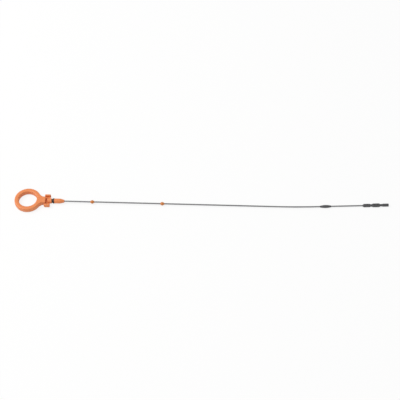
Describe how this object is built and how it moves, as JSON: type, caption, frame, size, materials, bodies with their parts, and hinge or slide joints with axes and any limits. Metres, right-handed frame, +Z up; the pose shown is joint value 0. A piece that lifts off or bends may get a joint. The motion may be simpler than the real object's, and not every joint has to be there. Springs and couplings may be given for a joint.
{
  "type": "engine oil dipstick",
  "caption": "Engine oil dipstick: a finger ring handle with a sealing plug, a thin steel rod with guide beads and a sleeve, and a stepped gauge tip.",
  "frame": {"origin": "on the plug's axis, at the root of the plug beside the seal", "axes": "+X along the plug towards the gauge tip, +Z up, square to the ring's flat face"},
  "size_m": [0.5228, 0.0372, 0.0076],
  "materials": {
    "orange_plastic": "moulded orange plastic, slightly satin",
    "black_rubber": "moulded black rubber",
    "drawn_steel": "drawn spring steel, dull grey",
    "dark_plastic": "moulded dark grey plastic"
  },
  "bodies": {
    "root": {"handle": "orange_plastic", "lip_seal": "black_rubber", "rod": "drawn_steel", "upper_bead": "orange_plastic", "lower_bead": "orange_plastic", "guide_sleeve": "dark_plastic", "gauge_tip": "dark_plastic"}
  },
  "joints": []
}
